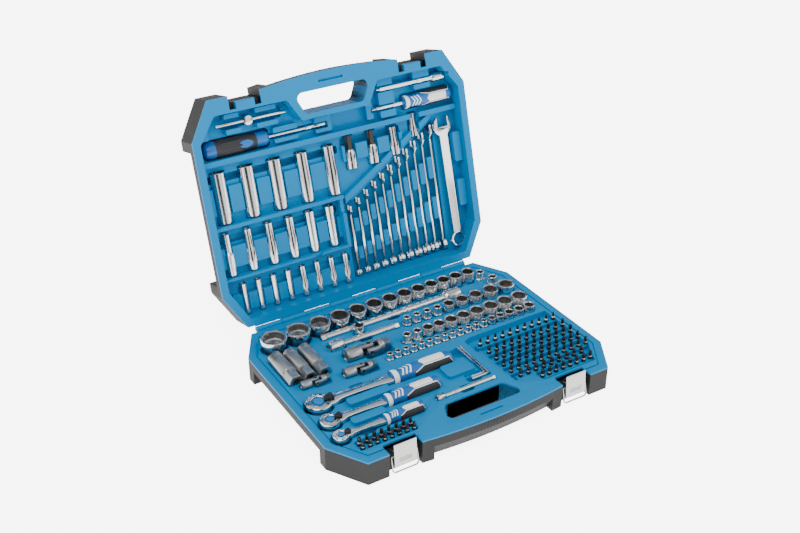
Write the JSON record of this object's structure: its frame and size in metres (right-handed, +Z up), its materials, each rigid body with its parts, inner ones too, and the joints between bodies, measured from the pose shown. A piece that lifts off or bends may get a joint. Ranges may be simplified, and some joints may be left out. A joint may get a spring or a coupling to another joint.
{
  "type": "socket wrench set in case",
  "caption": "Hinged moulded case standing open, holding ratchets, sockets, extensions, joints, wrenches and drivers",
  "frame": {"origin": "centre of the base's flat underside, in the case's open state", "axes": "+X to the right of someone facing the open case, +Y from the handle towards the hinge, +Z up"},
  "size_m": [0.47, 0.5047, 0.3877],
  "materials": {
    "case_black": "finely textured moulded plastic",
    "case_blue": "satin moulded plastic",
    "bright_steel": "polished",
    "grip_blue": "satin two-part grip",
    "button_blue": "gloss",
    "black_steel": "blackened",
    "driver_black": "soft grip",
    "chrome": "polished chrome"
  },
  "bodies": {
    "case_base": {"base_shell": "case_black", "base_tray": "case_blue", "hinge_pin": "bright_steel", "half_inch_socket_row": "chrome", "star_socket_row": "chrome", "three_eighths_socket_row": "chrome", "quarter_inch_socket_row": "chrome", "swivel_half_socket_yoke": "chrome", "swivel_three_eighths_socket_yoke": "chrome", "swivel_quarter_socket_yoke": "chrome", "extension_250": "chrome", "extension_125": "chrome", "extension_quarter": "chrome", "spark_plug_socket_1": "chrome", "spark_plug_socket_2": "chrome", "spark_plug_socket_3": "chrome", "drive_adapter": "chrome", "hex_key_1": "bright_steel", "hex_key_2": "bright_steel"},
    "lid": {"lid_shell": "case_black", "lid_tray": "case_blue", "extension_three_eighths": "chrome", "deep_half_inch_socket_row": "chrome", "deep_three_eighths_socket_row": "chrome", "deep_quarter_inch_socket_row": "chrome", "bit_socket_row": "chrome", "tee_bar": "chrome", "bit_driver_handle": "driver_black", "bit_driver_shaft": "chrome", "spinner_grip": "grip_blue", "spinner_shaft": "chrome", "combination_wrench_row": "chrome", "wrench_large": "chrome"},
    "latch_left_lever": {"latch_left_lever": "bright_steel"},
    "latch_left_bail": {"latch_left_bail": "bright_steel"},
    "latch_right_lever": {"latch_right_lever": "bright_steel"},
    "latch_right_bail": {"latch_right_bail": "bright_steel"},
    "ratchet_half": {"ratchet_half_body": "bright_steel", "ratchet_half_grip": "grip_blue"},
    "ratchet_half_drive": {"ratchet_half_drive": "chrome"},
    "ratchet_half_release_button": {"ratchet_half_release_button": "button_blue"},
    "ratchet_half_reverse_lever": {"ratchet_half_reverse_lever": "black_steel"},
    "ratchet_three_eighths": {"ratchet_three_eighths_body": "bright_steel", "ratchet_three_eighths_grip": "grip_blue"},
    "ratchet_three_eighths_drive": {"ratchet_three_eighths_drive": "chrome"},
    "ratchet_three_eighths_release_button": {"ratchet_three_eighths_release_button": "button_blue"},
    "ratchet_three_eighths_reverse_lever": {"ratchet_three_eighths_reverse_lever": "black_steel"},
    "ratchet_quarter": {"ratchet_quarter_body": "bright_steel", "ratchet_quarter_grip": "grip_blue"},
    "ratchet_quarter_drive": {"ratchet_quarter_drive": "chrome"},
    "ratchet_quarter_release_button": {"ratchet_quarter_release_button": "button_blue"},
    "ratchet_quarter_reverse_lever": {"ratchet_quarter_reverse_lever": "black_steel"},
    "swivel_half_cross": {"swivel_half_cross": "black_steel"},
    "swivel_half_drive_yoke": {"swivel_half_drive_yoke": "chrome"},
    "swivel_three_eighths_cross": {"swivel_three_eighths_cross": "black_steel"},
    "swivel_three_eighths_drive_yoke": {"swivel_three_eighths_drive_yoke": "chrome"},
    "swivel_quarter_cross": {"swivel_quarter_cross": "black_steel"},
    "swivel_quarter_drive_yoke": {"swivel_quarter_drive_yoke": "chrome"},
    "tee_slider": {"tee_slider": "chrome"}
  },
  "joints": [
    {"name": "lid_hinge", "type": "hinge", "parent": "case_base", "child": "lid", "pos_m": [0, 0.181, 0.038], "axis": [-1, 0, 0], "range_deg": [-105.5, 0]},
    {"name": "latch_left_lever_hinge", "type": "hinge", "parent": "case_base", "child": "latch_left_lever", "pos_m": [-0.1435, -0.1684, 0.0325], "axis": [-1, 0, 0], "range_deg": [0, 85]},
    {"name": "latch_left_bail_hinge", "type": "hinge", "parent": "latch_left_lever", "child": "latch_left_bail", "pos_m": [-0.1435, -0.16901, 0.02553], "axis": [-1, 0, 0], "range_deg": [0, 130]},
    {"name": "latch_right_lever_hinge", "type": "hinge", "parent": "case_base", "child": "latch_right_lever", "pos_m": [0.1435, -0.1684, 0.0325], "axis": [-1, 0, 0], "range_deg": [0, 85]},
    {"name": "latch_right_bail_hinge", "type": "hinge", "parent": "latch_right_lever", "child": "latch_right_bail", "pos_m": [0.1435, -0.16901, 0.02553], "axis": [-1, 0, 0], "range_deg": [0, 130]},
    {"name": "ratchet_half_lift", "type": "slide", "parent": "case_base", "child": "ratchet_half", "axis": [0, 0, 1], "range_m": [0, 0.06]},
    {"name": "ratchet_half_drive_spin", "type": "hinge", "parent": "ratchet_half", "child": "ratchet_half_drive", "pos_m": [-0.1995, -0.035, 0.0387], "axis": [0, 0, 1], "continuous": true},
    {"name": "ratchet_half_button_press", "type": "slide", "parent": "ratchet_half_drive", "child": "ratchet_half_release_button", "axis": [0, 0, 1], "range_m": [-0.002, 0], "stiffness_N_per_m": 200},
    {"name": "ratchet_half_lever_turn", "type": "hinge", "parent": "ratchet_half", "child": "ratchet_half_reverse_lever", "pos_m": [-0.1843, -0.035, 0.046], "axis": [0, 0, 1], "range_deg": [-18, 18]},
    {"name": "ratchet_three_eighths_lift", "type": "slide", "parent": "case_base", "child": "ratchet_three_eighths", "axis": [0, 0, 1], "range_m": [0, 0.06]},
    {"name": "ratchet_three_eighths_drive_spin", "type": "hinge", "parent": "ratchet_three_eighths", "child": "ratchet_three_eighths_drive", "pos_m": [-0.2045, -0.0775, 0.04043], "axis": [0, 0, 1], "continuous": true},
    {"name": "ratchet_three_eighths_button_press", "type": "slide", "parent": "ratchet_three_eighths_drive", "child": "ratchet_three_eighths_release_button", "axis": [0, 0, 1], "range_m": [-0.002, 0], "stiffness_N_per_m": 200},
    {"name": "ratchet_three_eighths_lever_turn", "type": "hinge", "parent": "ratchet_three_eighths", "child": "ratchet_three_eighths_reverse_lever", "pos_m": [-0.1929, -0.0775, 0.046], "axis": [0, 0, 1], "range_deg": [-18, 18]},
    {"name": "ratchet_quarter_lift", "type": "slide", "parent": "case_base", "child": "ratchet_quarter", "axis": [0, 0, 1], "range_m": [0, 0.06]},
    {"name": "ratchet_quarter_drive_spin", "type": "hinge", "parent": "ratchet_quarter", "child": "ratchet_quarter_drive", "pos_m": [-0.2075, -0.1135, 0.04158], "axis": [0, 0, 1], "continuous": true},
    {"name": "ratchet_quarter_button_press", "type": "slide", "parent": "ratchet_quarter_drive", "child": "ratchet_quarter_release_button", "axis": [0, 0, 1], "range_m": [-0.002, 0], "stiffness_N_per_m": 200},
    {"name": "ratchet_quarter_lever_turn", "type": "hinge", "parent": "ratchet_quarter", "child": "ratchet_quarter_reverse_lever", "pos_m": [-0.1983, -0.1135, 0.046], "axis": [0, 0, 1], "range_deg": [-18, 18]},
    {"name": "swivel_half_swing", "type": "hinge", "parent": "case_base", "child": "swivel_half_cross", "pos_m": [-0.07502, 0.043, 0.041], "axis": [0, 0, 1], "range_deg": [-10, 10]},
    {"name": "swivel_half_bend", "type": "hinge", "parent": "swivel_half_cross", "child": "swivel_half_drive_yoke", "pos_m": [-0.07502, 0.043, 0.041], "axis": [0, -1, 0], "range_deg": [0, 35]},
    {"name": "swivel_three_eighths_swing", "type": "hinge", "parent": "case_base", "child": "swivel_three_eighths_cross", "pos_m": [-0.10804, 0.007, 0.041], "axis": [0, 0, 1], "range_deg": [-10, 10]},
    {"name": "swivel_three_eighths_bend", "type": "hinge", "parent": "swivel_three_eighths_cross", "child": "swivel_three_eighths_drive_yoke", "pos_m": [-0.10804, 0.007, 0.041], "axis": [0, -1, 0], "range_deg": [0, 35]},
    {"name": "swivel_quarter_swing", "type": "hinge", "parent": "case_base", "child": "swivel_quarter_cross", "pos_m": [-0.1784, 0.0135, 0.041], "axis": [0, 0, 1], "range_deg": [-10, 10]},
    {"name": "swivel_quarter_bend", "type": "hinge", "parent": "swivel_quarter_cross", "child": "swivel_quarter_drive_yoke", "pos_m": [-0.1784, 0.0135, 0.041], "axis": [0, -1, 0], "range_deg": [0, 35]},
    {"name": "tee_slider_slide", "type": "slide", "parent": "lid", "child": "tee_slider", "axis": [1, 0, 0], "range_m": [-0.036, 0.05]}
  ]
}
